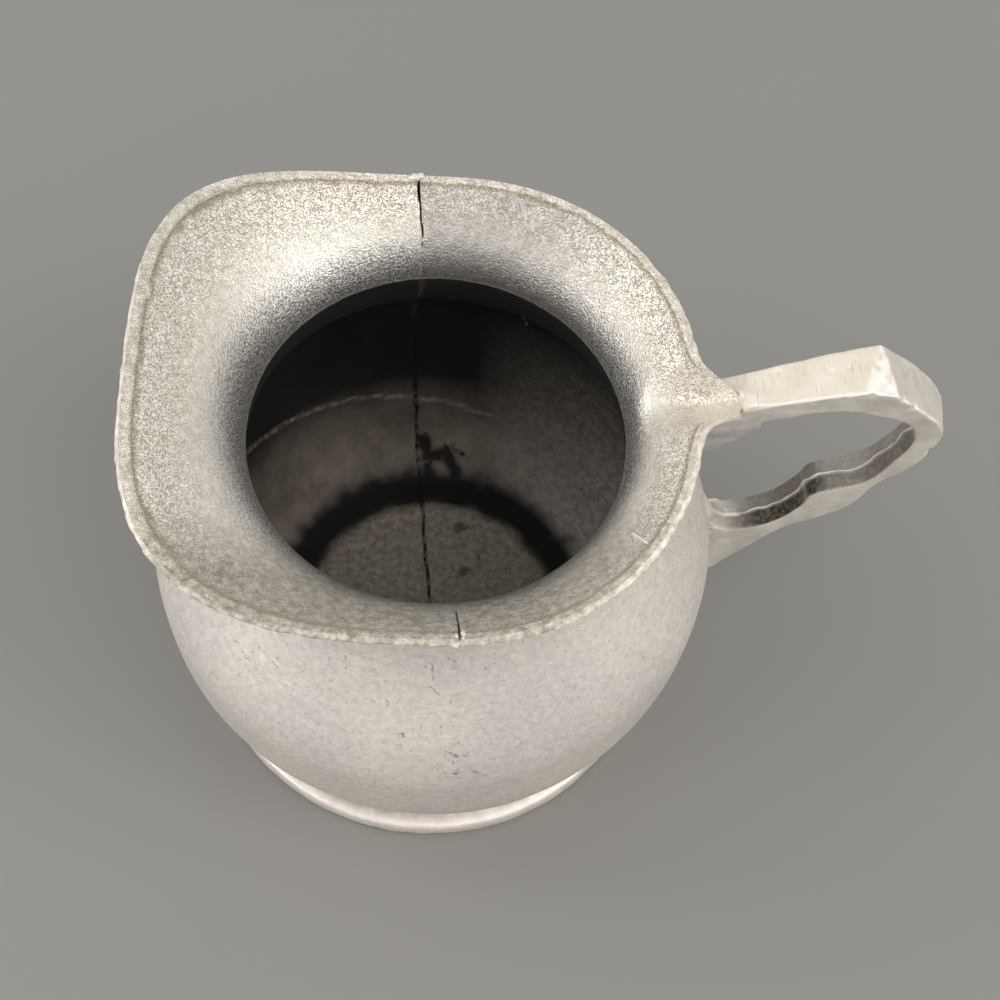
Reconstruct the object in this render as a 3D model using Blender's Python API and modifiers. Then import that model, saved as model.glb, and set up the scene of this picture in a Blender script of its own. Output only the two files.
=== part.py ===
"""Small hand-cast pewter creamer, in metres, +Z up, standing on z = 0.

Two cast halves make the body: floor, belly, neck and a wide flared lip. They meet on an upright seam
square to the line from spout to handle. A turned foot ring is soldered under them, and a cast loop
handle is soldered to the lip and the belly. The spout points to -X and the handle to +X.
"""

import math

import bmesh
import bpy
from mathutils import Matrix, Vector

# Body: radii are from the axis of the belly, heights from the table.
throat_radius = 0.0200
throat_height = 0.0493
wall = 0.0020
belly_radius = 0.0318
belly_height = 0.0282
crease_radius = 0.0240
lower_fullness = 2.5
floor_height = 0.0055
floor_thickness = 0.0021
floor_disc_radius = 0.0148
floor_channel_width = 0.0032
floor_channel_depth = 0.0004
bottom_bend_height = 0.0046

# Lip: its reach towards the spout, the sides and the handle, and how its edge rises at both ends.
# The lip's long axis is turned a few degrees from the handle's, as hand fitting left it.
lip_wall = 0.0014
spout_reach = 0.0313
lip_side_reach = 0.0275
lip_handle_reach = 0.0270
spout_squareness = 3.4
handle_end_squareness = 2.2
lip_turn = math.radians(-6.5)
lip_low_place = -0.0040
lip_stand = 0.0095
spout_rise = 0.0050
handle_end_rise = 0.0005
flare_stand = 0.60
tab_reach = 0.0052
tab_drop = 0.0039
tab_place = -0.0010
tab_far_spread = 0.0021
tab_near_spread = 0.0032

# Foot ring.
foot_radius = 0.0275
foot_bore_radius = 0.0215
foot_height = 0.00485
foot_rim_height = 0.0022
foot_rounding = 0.0005

# Handle: places are from the axis of the belly, heights from the table.
handle_reach = 0.0553
reach_height = 0.0469
end_shoulder_rise = 0.0033
end_heel_drop = 0.0055
end_thickness = 0.0033
strap_sink = 0.0004
strap_thickness = 0.0030
strap_arch = 0.0006
strap_root_width = 0.0046
crest_width = 0.0060
crest_setback = 0.0089
crest_rise = 0.0039
crest_facet = 0.0011
crest_cut_length = 0.0018
crest_taper = 0.0125
end_skew = 0.13
branch_width = 0.0043
branch_thickness = 0.0058
root_foot_height = 0.0146
root_crotch_height = 0.0272
root_depth = 0.0060
handle_edge_rounding = 0.0003
fin_radius = 0.0004

# The hole for the fingers, from the crotch over the lower root, up the stepped branch and the inside
# of the rounded end to the underside of the strap: shares of the hole's width and of its height.
# The underside of the branch is given the same way, and then lowered by the branch's thickness.
branch_shape = ((0.20, 0.01), (0.36, 0.05), (0.50, 0.18), (0.55, 0.28),
                (0.66, 0.31), (0.82, 0.35), (0.93, 0.49), (1.00, 0.65))
arch_shape = ((0.98, 0.75), (0.90, 0.83), (0.74, 0.90), (0.46, 0.95))
underside_shape = ((0.90, 0.51), (0.80, 0.35), (0.64, 0.27), (0.43, 0.17), (0.29, 0.04))

# Solder, and the gaps between pieces.
clearance = 0.0003
seam_gap = 0.0003
seam_groove_width = 0.0020
seam_groove_depth = 0.0010
seam_margin = 0.0030
tack_length = 0.0019
tack_depth = 0.0019
tack_height = 0.0016
upper_solder_drop = 0.0065
upper_solder_reach = 0.0070
lower_solder_rise = 0.0060
lower_solder_tongue = 0.0030
foot_solder_leg = 0.0014
solder_edge = 0.0008

# The lump under the strap: shares of its reach past the lip and of its drop, up from its lowest point.
# The fillet's hollow face: shares of its tongue, out from the belly, and of its rise.
upper_solder_shape = ((0.20, 0.10), (0.64, 0.40))
lower_solder_shape = ((0.36, 0.60), (0.50, 0.30))

# Fineness of the round forms: steps round the axis, and rows along each stretch of the wall.
steps = 84
wall_rows = 6
lip_rows = 6
bend_rows = 3

neck_radius = throat_radius + wall
shoulder_height = foot_height + clearance
base_height = floor_height - floor_thickness
boss_radius = foot_bore_radius - clearance
lip_low_height = throat_height + lip_stand
tab_end = lip_handle_reach + tab_reach
strap_root_height = lip_low_height + handle_end_rise - tab_drop - strap_sink
crest_place = handle_reach - crest_setback
crest_height = strap_root_height + crest_rise


def clear_scene():
    """Remove what the file holds already."""
    for item in list(bpy.data.objects):
        bpy.data.objects.remove(item, do_unlink=True)


def add_collection(name):
    """A new collection in the scene."""
    made = bpy.data.collections.new(name)
    bpy.context.scene.collection.children.link(made)
    return made


def add_object(name, mesh, collection):
    """An object for a mesh, held by the axis of the body."""
    made = bpy.data.objects.new(name, mesh)
    collection.objects.link(made)
    made.parent = axis
    return made


def add_guide(name, mesh):
    """A cutter, which shows as wires and never renders."""
    made = add_object(name, mesh, cutters)
    made.hide_render = True
    made.display_type = "WIRE"
    return made


def metal(name, color, roughness):
    """A plain metal finish."""
    made = bpy.data.materials.new(name)
    made.use_nodes = True
    shader = made.node_tree.nodes["Principled BSDF"]
    shader.inputs["Base Color"].default_value = (*color, 1.0)
    shader.inputs["Roughness"].default_value = roughness
    shader.inputs["Metallic"].default_value = 1.0
    return made


def finish(piece, material):
    """Give a piece its material and smooth shading with crisp corners."""
    mesh = piece.data
    mesh.materials.clear()
    mesh.materials.append(material)
    mesh.shade_smooth()
    mesh.set_sharp_from_angle(angle=math.radians(35.0))


def evaluated_mesh(source):
    """The mesh of an object with its modifiers, or of a curve, with its seams welded."""
    graph = bpy.context.evaluated_depsgraph_get()
    mesh = bpy.data.meshes.new_from_object(source.evaluated_get(graph))
    shape = bmesh.new()
    shape.from_mesh(mesh)
    bmesh.ops.remove_doubles(shape, verts=shape.verts, dist=0.000001)
    shape.to_mesh(mesh)
    shape.free()
    return mesh


def turned_mesh(name, outline, closed):
    """Revolve an outline of (radius, height) points about the axis."""
    mesh = bpy.data.meshes.new(name)
    count = len(outline)
    edges = [(index, index + 1) for index in range(count - 1)]
    if closed:
        edges.append((count - 1, 0))
    mesh.from_pydata([(radius, 0.0, height) for radius, height in outline], edges, [])
    blank = bpy.data.objects.new(name, mesh)
    cutters.objects.link(blank)
    screw = blank.modifiers.new("turn", "SCREW")
    screw.steps = steps
    screw.render_steps = steps
    screw.use_merge_vertices = True
    screw.merge_threshold = 0.000001
    made = evaluated_mesh(blank)
    bpy.data.objects.remove(blank, do_unlink=True)
    return made


def box_mesh(name, low, high):
    """A box between two corners."""
    shape = bmesh.new()
    bmesh.ops.create_cube(shape, size=1.0)
    low = Vector(low)
    high = Vector(high)
    size = high - low
    place = Matrix.Translation((low + high) / 2.0) @ Matrix.Diagonal((*size, 1.0))
    bmesh.ops.transform(shape, matrix=place, verts=shape.verts)
    mesh = bpy.data.meshes.new(name)
    shape.to_mesh(mesh)
    shape.free()
    return mesh


def boolean(piece, operation, other):
    """Add a live Boolean modifier."""
    modifier = piece.modifiers.new(operation.lower(), "BOOLEAN")
    modifier.operation = operation
    modifier.solver = "EXACT"
    modifier.object = other


def belly_radius_at(height):
    """Outside radius of the body between the crease over the foot and the neck."""
    if height >= belly_height:
        share = (height - belly_height) / (throat_height - belly_height)
        return belly_radius + (neck_radius - belly_radius) * (3.0 - 2.0 * share) * share ** 2
    share = (belly_height - height) / (belly_height - shoulder_height)
    return belly_radius - (belly_radius - crease_radius) * share ** lower_fullness


def wall_point(height, distance):
    """A point at a distance outside the belly's surface, square to it, as (radius, height)."""
    reach = 0.00001
    top = min(height + reach, throat_height)
    bottom = max(height - reach, shoulder_height)
    slope = (belly_radius_at(top) - belly_radius_at(bottom)) / (top - bottom)
    if height >= throat_height:
        slope = 0.0
    normal = Vector((1.0, -slope)).normalized()
    return (belly_radius_at(height) + distance * normal.x, height + distance * normal.y)


def belly_heights(lowest):
    """Heights of the rows down the body, from the neck."""
    upper = [throat_height + (belly_height - throat_height) * row / wall_rows for row in range(wall_rows)]
    lower = [belly_height + (lowest - belly_height) * row / wall_rows for row in range(wall_rows + 1)]
    return upper + lower


def bezier(points, count):
    """Points along a quadratic curve, both ends included."""
    first, middle, last = [Vector(point) for point in points]
    made = []
    for index in range(count + 1):
        share = index / count
        made.append(first * (1.0 - share) ** 2 + middle * 2.0 * share * (1.0 - share) + last * share ** 2)
    return made


def outside_outline():
    """From the neck down the belly to the shoulder, the boss and the axis."""
    points = [wall_point(height, 0.0) for height in belly_heights(shoulder_height)]
    points += [(boss_radius, shoulder_height), (boss_radius, base_height), (0.0, base_height)]
    return points


def inside_outline():
    """From the middle of the floor out over its shallow channel and up the wall to the neck."""
    channel_radius = floor_disc_radius + floor_channel_width
    channel_height = floor_height - floor_channel_depth
    lowest = shoulder_height + bottom_bend_height
    climb = [wall_point(height, -wall) for height in reversed(belly_heights(lowest))]
    corner = (climb[0][0] - bottom_bend_height / 2.0, channel_height)
    bend = bezier([(channel_radius, channel_height), corner, climb[0]], bend_rows)
    points = [(0.0, floor_height), (floor_disc_radius, floor_height)]
    points.append((floor_disc_radius + floor_channel_depth, channel_height))
    points += [tuple(point) for point in bend[:-1]]
    return points + climb


def lip_plan_radius(angle):
    """How far the lip's edge stands from the axis, seen from above: two blunt half ovals."""
    turned = angle - lip_turn
    across = abs(math.sin(turned)) / lip_side_reach
    if math.cos(turned) < 0.0:
        reach = spout_reach
        power = spout_squareness
    else:
        reach = lip_handle_reach
        power = handle_end_squareness
    along = abs(math.cos(turned)) / reach
    return (along ** power + across ** power) ** (-1.0 / power)


def lip_edge(angle):
    """The lip's edge at an angle, as (radius, height), with the tab that dips over the handle."""
    radius = lip_plan_radius(angle)
    place = radius * math.cos(angle - lip_turn)
    if place < lip_low_place:
        rise = spout_rise * ((lip_low_place - place) / (lip_low_place + spout_reach)) ** 2
    else:
        rise = handle_end_rise * ((place - lip_low_place) / (lip_handle_reach - lip_low_place)) ** 2
    side = radius * math.sin(angle) - tab_place
    spread = tab_far_spread if side > 0.0 else tab_near_spread
    tab = math.exp(-((side / spread) ** 2)) if math.cos(angle) > 0.0 else 0.0
    return (radius + tab_reach * tab, lip_low_height + rise - tab_drop * tab)


def lip_section(angle, grow):
    """The lip's inner line and its outer line, tip first, as (radius, height) points, grown all round."""
    edge_radius, edge_height = lip_edge(angle)
    neck = (throat_radius, throat_height)
    stand = (throat_radius, throat_height + flare_stand * (edge_height - throat_height))
    edge = (edge_radius - lip_wall / 3.0, edge_height)
    inner = []
    outer = []
    for index, point in enumerate(bezier([neck, stand, edge], lip_rows)):
        share = index / lip_rows
        along = (Vector(stand) - Vector(neck)) * (1.0 - share) + (Vector(edge) - Vector(stand)) * share
        outward = Vector((along.y, -along.x)).normalized()
        inner.append(point - outward * grow)
        outer.append(point + outward * (wall + (lip_wall - wall) * share + grow))
    tip = (Vector(edge) - Vector(stand)).normalized()
    inner[-1] += tip * grow
    outer[-1] += tip * grow
    rounding = (inner[-1] + outer[-1]) / 2.0 + tip * lip_wall / 4.0
    return inner, [rounding] + outer[::-1]


def spout_tip():
    """How far the lip reaches from the axis towards -X."""
    angles = [math.tau * step / steps for step in range(steps)]
    return max(-point.x * math.cos(angle) for angle in angles for point in lip_section(angle, 0.0)[1])


def add_lip(shape, grow, rows_of):
    """Loft the lip from the round neck to its blunt oval edge."""
    columns = []
    for step in range(steps):
        angle = math.tau * step / steps
        turn = Matrix.Rotation(angle, 3, "Z")
        column = [turn @ Vector((radius, 0.0, height)) for radius, height in rows_of(angle, grow)]
        columns.append([shape.verts.new(point) for point in column])
    for column, following in zip(columns, columns[1:] + columns[:1]):
        for row in range(len(column) - 1):
            shape.faces.new((column[row], following[row], following[row + 1], column[row + 1]))
    return columns


def close_up(shape, name):
    """Weld the turned wall to the lip and turn every face outwards."""
    bmesh.ops.remove_doubles(shape, verts=shape.verts, dist=0.000002)
    bmesh.ops.recalc_face_normals(shape, faces=shape.faces)
    mesh = bpy.data.meshes.new(name)
    shape.to_mesh(mesh)
    shape.free()
    return mesh


def cup_mesh():
    """The whole cast body before it is parted: turned belly and lofted lip."""
    shape = bmesh.new()
    shape.from_mesh(turned_mesh("outside", outside_outline(), False))
    shape.from_mesh(turned_mesh("inside", inside_outline(), False))

    def rows_of(angle, grow):
        inner, outer = lip_section(angle, grow)
        return inner + outer

    add_lip(shape, 0.0, rows_of)
    return close_up(shape, "cup")


def cup_room_mesh():
    """The body filled up and grown by the clearance, which cuts what seats against it."""
    shape = bmesh.new()
    outline = [wall_point(height, clearance) for height in belly_heights(shoulder_height)]
    outline.append((0.0, outline[-1][1]))
    shape.from_mesh(turned_mesh("room", outline, False))

    def rows_of(angle, grow):
        inner, outer = lip_section(angle, grow)
        return [inner[-1]] + outer

    columns = add_lip(shape, clearance, rows_of)
    middle = shape.verts.new((0.0, 0.0, throat_height))
    for column, following in zip(columns, columns[1:] + columns[:1]):
        shape.faces.new((middle, following[0], column[0]))
    return close_up(shape, "cup_room")


def lip_room_mesh():
    """The lip alone, grown by the clearance all round, which cuts the beads that sit on its edge."""
    shape = bmesh.new()

    def rows_of(angle, grow):
        inner, outer = lip_section(angle, grow)
        return inner + outer + inner[:1]

    add_lip(shape, clearance, rows_of)
    return close_up(shape, "lip_room")


def seam_band_mesh(name, outward, depth):
    """A band that follows the outside of the belly, from over the foot to under the lip."""
    lowest = shoulder_height + seam_margin
    highest = throat_height - seam_margin
    rows = 2 * wall_rows
    heights = [highest + (lowest - highest) * row / rows for row in range(rows + 1)]
    outer = [wall_point(height, outward) for height in heights]
    inner = [wall_point(height, -depth) for height in reversed(heights)]
    return turned_mesh(name, outer + inner, True)


def seam_slab(name, width, low_side, high_side):
    """A slab along the seam, from one side of the axis to the other."""
    reach = 2.0 * belly_radius
    low = (-width / 2.0, low_side * reach, 0.0)
    high = (width / 2.0, high_side * reach, 2.0 * throat_height)
    return add_guide(name, box_mesh(name, low, high))


def add_body(pewter):
    """Part the cup at the seam and groove the outside of the joint for its solder."""
    groove = add_guide("seam_groove", seam_band_mesh("seam_groove", wall, seam_groove_depth))
    boolean(groove, "INTERSECT", seam_slab("groove_slab", seam_groove_width, -1.0, 1.0))
    cup = cup_mesh()
    reach = 3.0 * belly_radius
    for name, side in (("spout_half", -1.0), ("handle_half", 1.0)):
        ends = sorted((side * seam_gap / 2.0, side * reach))
        room = box_mesh(name + "_side", (ends[0], -reach, -reach), (ends[1], reach, 2.0 * reach))
        half = add_object(name, cup.copy(), parts)
        boolean(half, "INTERSECT", add_guide(name + "_side", room))
        boolean(half, "DIFFERENCE", groove)
        finish(half, pewter)


def add_seam_solder(solder):
    """The runs of solder in the outside of the seam, filed flush with the belly."""
    width = seam_groove_width - 2.0 * clearance
    depth = seam_groove_depth - clearance
    for name, low_side, high_side in (("seam_solder_far", 0.0, 1.0), ("seam_solder_near", -1.0, 0.0)):
        run = add_object(name, seam_band_mesh(name, 0.0, depth), parts)
        boolean(run, "INTERSECT", seam_slab(name + "_slab", width, low_side, high_side))
        finish(run, solder)


def add_rim_tacks(solder):
    """The beads of solder that bridge the seam on the edge of the lip."""
    room = add_guide("lip_room", lip_room_mesh())
    for name, angle in (("rim_tack_far", math.pi / 2.0), ("rim_tack_near", -math.pi / 2.0)):
        shape = bmesh.new()
        bmesh.ops.create_uvsphere(shape, u_segments=16, v_segments=8, radius=0.5)
        size = Matrix.Diagonal((tack_length, tack_depth, tack_height, 1.0))
        bmesh.ops.transform(shape, matrix=size, verts=shape.verts)
        mesh = bpy.data.meshes.new(name)
        shape.to_mesh(mesh)
        shape.free()
        tack = add_object(name, mesh, parts)
        radius, height = lip_section(angle, clearance)[0][-1]
        tack.location = (0.0, radius * math.sin(angle), height)
        boolean(tack, "DIFFERENCE", room)
        finish(tack, solder)


def add_foot(pewter, solder):
    """The foot ring, its coved top seated under the belly, and the fillet that holds it inside."""
    cove = bezier([(foot_radius - foot_rounding, foot_rim_height + foot_rounding),
                   (crease_radius + foot_rounding, foot_rim_height + 2.0 * foot_rounding),
                   (crease_radius, foot_height)], bend_rows)
    outline = [tuple(point) for point in reversed(cove)]
    outline += [(foot_radius, foot_rim_height), (foot_radius, foot_rounding)]
    outline += [(foot_radius - foot_rounding, 0.0), (foot_bore_radius, 0.0), (foot_bore_radius, foot_height)]
    ring = add_object("foot_ring", turned_mesh("foot_ring", outline, True), parts)
    finish(ring, pewter)
    outer = foot_bore_radius - clearance
    top = base_height - clearance
    hollow = foot_solder_leg / 4.0
    outline = [(outer - foot_solder_leg, top), (outer, top), (outer, top - foot_solder_leg)]
    outline.append((outer - hollow, top - hollow * 2.0))
    fillet = add_object("foot_solder", turned_mesh("foot_solder", outline, True), parts)
    finish(fillet, solder)


def plate_mesh(name, knots, width, rounding):
    """A flat outline in the plane of the handle, thickened sideways, with rounded edges.

    A knot is (place, height, corner): a corner is sharp, and the curve runs smoothly through the others.
    """
    curve = bpy.data.curves.new(name, "CURVE")
    curve.dimensions = "2D"
    curve.fill_mode = "BOTH"
    curve.resolution_u = 4
    curve.extrude = width / 2.0 - rounding
    curve.bevel_depth = rounding
    curve.bevel_resolution = 1
    curve.offset = -rounding
    spline = curve.splines.new("BEZIER")
    spline.bezier_points.add(len(knots) - 1)
    spline.use_cyclic_u = True
    for point, (place, height, corner) in zip(spline.bezier_points, knots):
        point.co = (place, height, 0.0)
        kind = "VECTOR" if corner else "AUTO"
        point.handle_left_type = kind
        point.handle_right_type = kind
    holder = bpy.data.objects.new(name, curve)
    cutters.objects.link(holder)
    mesh = evaluated_mesh(holder)
    bpy.data.objects.remove(holder, do_unlink=True)
    mesh.transform(Matrix.Rotation(math.pi / 2.0, 4, "X"))
    return mesh


def strap_line(place):
    """Height of the strap's flat top at a distance from the axis."""
    slope = (crest_height - strap_root_height) / (crest_place - tab_end)
    return strap_root_height + slope * (place - tab_end)


def in_hole(shares):
    """Points given as shares of the finger hole's width and height, as (place, height)."""
    width = handle_reach - end_thickness - belly_radius
    height = crest_height - strap_thickness - root_crotch_height
    return [(belly_radius + across * width, root_crotch_height + up * height) for across, up in shares]


def handle_knots():
    """The handle's outline: strap, crest, rounded end, lower branch and back along the inner face."""
    root = throat_radius
    middle = (tab_end + crest_place) / 2.0
    crest = (crest_place, crest_height)
    facet = (crest_place + crest_facet, crest_height - crest_facet)
    shoulder = (handle_reach, reach_height + end_shoulder_rise)
    widest = (handle_reach, reach_height)
    heel = (handle_reach, reach_height - end_heel_drop)
    underside = [(place, height - branch_thickness) for place, height in in_hole(underside_shape)]
    round_end = bezier([facet, shoulder, widest], 3)[1:] + bezier([widest, heel, underside[0]], 3)[1:]
    roots = [(belly_radius, root_foot_height), (belly_radius - root_depth, root_foot_height),
             (belly_radius - root_depth, root_crotch_height), (belly_radius, root_crotch_height)]
    strap_end = tab_end + strap_thickness
    under = [(place, strap_line(place) - strap_thickness) for place in (strap_end, root)]
    knots = [(root, strap_line(root), True), (middle, strap_line(middle) + strap_arch, False)]
    knots += [(*crest, True), (*facet, True)]
    knots += [(*point, False) for point in round_end + underside[1:]]
    knots += [(*point, True) for point in roots]
    knots += [(*point, False) for point in in_hole(branch_shape + arch_shape)]
    return knots + [(*point, True) for point in under]


def taper_handle(mesh):
    """Draw the sides in from the crest to the strap's root, and past the crest to the branch's width.

    The rounded end stands a little askew, its far edge farther out than its near one.
    """
    for vertex in mesh.vertices:
        along = (crest_place - vertex.co.x) / (crest_place - tab_end)
        along = min(max(along, 0.0), 1.0)
        down = (crest_height - vertex.co.z) / crest_taper
        down = min(max(down, 0.0), 1.0) ** 2
        width = crest_width + (strap_root_width - crest_width) * along * (1.0 - down)
        width += (branch_width - crest_width) * down
        vertex.co.y *= width / crest_width
        out = (vertex.co.x - crest_place) / (crest_setback / 2.0)
        vertex.co.x += end_skew * vertex.co.y * min(max(out, 0.0), 1.0)


def crest_cut_mesh():
    """A block over the flat that was filed across the near corner of the crest."""
    side = crest_width / 2.0
    far_end = Vector((crest_place, side, crest_height))
    near_end = Vector((crest_place - crest_cut_length, -side, strap_line(crest_place - crest_cut_length)))
    drop = Vector((crest_place + crest_facet / 2.0, -side, crest_height - crest_facet))
    upward = (drop - near_end).cross(far_end - near_end).normalized()
    reach = 2.0 * crest_width
    mesh = box_mesh("crest_cut", (-reach / 2.0, -reach / 2.0, 0.0), (reach / 2.0, reach / 2.0, reach))
    turn = upward.to_track_quat("Z", "Y").to_matrix().to_4x4()
    mesh.transform(Matrix.Translation((far_end + near_end) / 2.0) @ turn)
    return mesh


def fin_mesh():
    """The mould's parting fin, a fine ridge along the middle of the branch's inner face."""
    curve = bpy.data.curves.new("parting_fin", "CURVE")
    curve.dimensions = "3D"
    curve.bevel_depth = fin_radius
    curve.bevel_resolution = 1
    curve.resolution_u = 4
    curve.use_fill_caps = True
    path = in_hole(branch_shape)
    spline = curve.splines.new("BEZIER")
    spline.bezier_points.add(len(path) - 1)
    for point, (place, height) in zip(spline.bezier_points, path):
        point.co = (place, 0.0, height)
        point.handle_left_type = "AUTO"
        point.handle_right_type = "AUTO"
    holder = bpy.data.objects.new("parting_fin", curve)
    cutters.objects.link(holder)
    mesh = evaluated_mesh(holder)
    bpy.data.objects.remove(holder, do_unlink=True)
    return mesh


def add_handle(room, pewter):
    """The cast loop handle, its roots shaped to the lip and the belly."""
    mesh = plate_mesh("handle", handle_knots(), crest_width, handle_edge_rounding)
    taper_handle(mesh)
    handle = add_object("handle", mesh, parts)
    boolean(handle, "DIFFERENCE", add_guide("crest_cut", crest_cut_mesh()))
    boolean(handle, "UNION", add_guide("parting_fin", fin_mesh()))
    boolean(handle, "DIFFERENCE", room)
    finish(handle, pewter)


def add_handle_solder(room, solder):
    """The lump under the strap's root and the fillet in the crotch of the lower root."""
    width = branch_width - 2.0 * clearance
    inset = throat_radius
    under = strap_thickness + clearance
    reach = lip_handle_reach + upper_solder_reach
    low = strap_line(reach) - under - upper_solder_drop
    knots = [(inset, strap_line(inset) - under, True), (inset, low, True)]
    knots += [(lip_handle_reach + upper_solder_reach * across, low + upper_solder_drop * up, False)
              for across, up in upper_solder_shape]
    knots.append((reach, strap_line(reach) - under - solder_edge, True))
    knots.append((reach, strap_line(reach) - under, True))
    lump = add_object("handle_upper_solder", plate_mesh("upper", knots, width, clearance), parts)
    boolean(lump, "DIFFERENCE", room)
    finish(lump, solder)
    floor = root_crotch_height + clearance
    top = floor + lower_solder_rise
    inset = belly_radius - root_depth
    reach = belly_radius + lower_solder_tongue
    hollow = [(across, floor + up * lower_solder_rise) for across, up in reversed(lower_solder_shape)]
    knots = [(inset, floor, True), (reach, floor, True), (reach, floor + solder_edge, True)]
    knots += [(belly_radius_at(height) + clearance + across * lower_solder_tongue, height, False)
              for across, height in hollow]
    knots += [(belly_radius_at(top) + clearance + solder_edge, top, True), (inset, top, True)]
    fillet = add_object("handle_lower_solder", plate_mesh("lower", knots, width, clearance), parts)
    boolean(fillet, "DIFFERENCE", room)
    finish(fillet, solder)


clear_scene()
parts = add_collection("pewter_creamer")
cutters = add_collection("cutters")
axis = bpy.data.objects.new("body_axis", None)
parts.objects.link(axis)
axis.location.x = (spout_tip() - handle_reach) / 2.0

pewter_finish = metal("cast pewter", (0.56, 0.54, 0.50), 0.42)
solder_finish = metal("tin solder", (0.66, 0.64, 0.60), 0.34)
cup_room = add_guide("cup_room", cup_room_mesh())
add_body(pewter_finish)
add_seam_solder(solder_finish)
add_rim_tacks(solder_finish)
add_foot(pewter_finish, solder_finish)
add_handle(cup_room, pewter_finish)
add_handle_solder(cup_room, solder_finish)
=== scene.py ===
import math
from functools import lru_cache

import bmesh
import bpy
from mathutils import Euler, Matrix, Vector, noise


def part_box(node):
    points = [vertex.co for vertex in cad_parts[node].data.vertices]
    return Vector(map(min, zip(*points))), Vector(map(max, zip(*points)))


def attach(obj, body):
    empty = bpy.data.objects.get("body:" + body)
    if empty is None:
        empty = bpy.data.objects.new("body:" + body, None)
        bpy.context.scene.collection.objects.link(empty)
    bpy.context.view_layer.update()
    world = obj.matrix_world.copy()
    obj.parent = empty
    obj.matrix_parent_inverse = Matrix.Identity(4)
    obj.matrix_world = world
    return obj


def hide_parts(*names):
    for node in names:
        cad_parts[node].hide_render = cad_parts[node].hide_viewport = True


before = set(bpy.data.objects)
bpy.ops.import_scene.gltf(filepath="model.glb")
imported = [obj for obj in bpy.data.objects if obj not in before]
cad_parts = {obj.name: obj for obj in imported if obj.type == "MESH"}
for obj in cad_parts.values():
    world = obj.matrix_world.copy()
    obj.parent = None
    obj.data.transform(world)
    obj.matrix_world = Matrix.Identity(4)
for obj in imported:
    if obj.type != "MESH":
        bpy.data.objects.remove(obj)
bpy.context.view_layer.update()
mm = 0.001

# The two cast halves of the body. Pewter, poured in sand and parted through the floor, the belly and the
# lip on one upright seam. Outside they were scraped smooth, the lip kept its sandy skin and a bright
# filed edge, and the inside is stained almost black.
throat_radius = 20.0
throat_height = 49.3
wall = 2.0
belly_radius = 31.8
belly_height = 28.2
crease_radius = 24.0
shoulder_height = 5.15
lower_fullness = 2.5
floor_height = 5.5
base_height = 3.4
boss_radius = 21.2
floor_disc_radius = 14.8
channel_width = 3.2
channel_depth = 0.4
bend_height = 4.6
lip_wall = 1.4
spout_reach = 31.3
side_reach = 27.5
handle_end_reach = 27.0
spout_squareness = 3.4
handle_end_squareness = 2.2
lip_turn = math.radians(-6.5)
lip_low_place = -4.0
lip_low_height = 58.8
spout_rise = 5.0
handle_end_rise = 0.5
flare_stand = 0.60
tab_reach = 5.2
tab_drop = 3.9
tab_place = -1.0
tab_far_spread = 2.1
tab_near_spread = 3.2
root_bottom = 15.0
root_top = 27.2
edge_rounding = 0.28
columns = 256
gather = 0.028
gather_reach = 0.04
deposit_height = 12.7
deposit_tilt = 0.16
# Radii at which the painted black shadow ring in the inside corner round the floor begins and is full.
shadow_ring_start, shadow_ring_full = 21.3, 18.8
filed_tab_start, filed_tab_slant, filed_tab_radius = 28.6, 1.25, 26.6

foot_low, foot_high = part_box("foot_ring")
axis_place = (foot_low.x + foot_high.x) / 2.0 / mm


def smooth(low, high, value):
    """Rises smoothly from 0 at low to 1 at high."""
    share = min(max((value - low) / (high - low), 0.0), 1.0)
    return share * share * (3.0 - 2.0 * share)


def rough(x, y, z, grain, seed=0.0):
    """Smooth noise from -1 to 1 whose lumps are about grain millimetres across."""
    return noise.noise(Vector((x / grain + seed, y / grain - seed, z / grain + 2.0 * seed)))


def belly_radius_at(height):
    """Outside radius of the body from its shoulder to the neck."""
    if height >= belly_height:
        share = (height - belly_height) / (throat_height - belly_height)
        neck = throat_radius + wall
        return belly_radius + (neck - belly_radius) * (3.0 - 2.0 * share) * share ** 2
    share = (belly_height - height) / (belly_height - shoulder_height)
    return belly_radius - (belly_radius - crease_radius) * share ** lower_fullness


def wall_point(height, distance):
    """A point at a distance outside the belly's surface, square to it."""
    top = min(height + 0.01, throat_height)
    bottom = max(height - 0.01, shoulder_height)
    slope = (belly_radius_at(top) - belly_radius_at(bottom)) / (top - bottom)
    if height >= throat_height:
        slope = 0.0
    normal = Vector((1.0, -slope)).normalized()
    return Vector((belly_radius_at(height), height)) + distance * normal


def bend(first, middle, last, share):
    """A point on a quadratic curve."""
    return first * (1.0 - share) ** 2 + middle * 2.0 * share * (1.0 - share) + last * share ** 2


def tab_weight(angle, radius):
    """How far the lip has drawn out into the tab at an angle, from 0 to 1."""
    side = radius * math.sin(angle) - tab_place
    spread = tab_far_spread if side > 0.0 else tab_near_spread
    return math.exp(-((side / spread) ** 2)) if math.cos(angle) > 0.0 else 0.0


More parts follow.
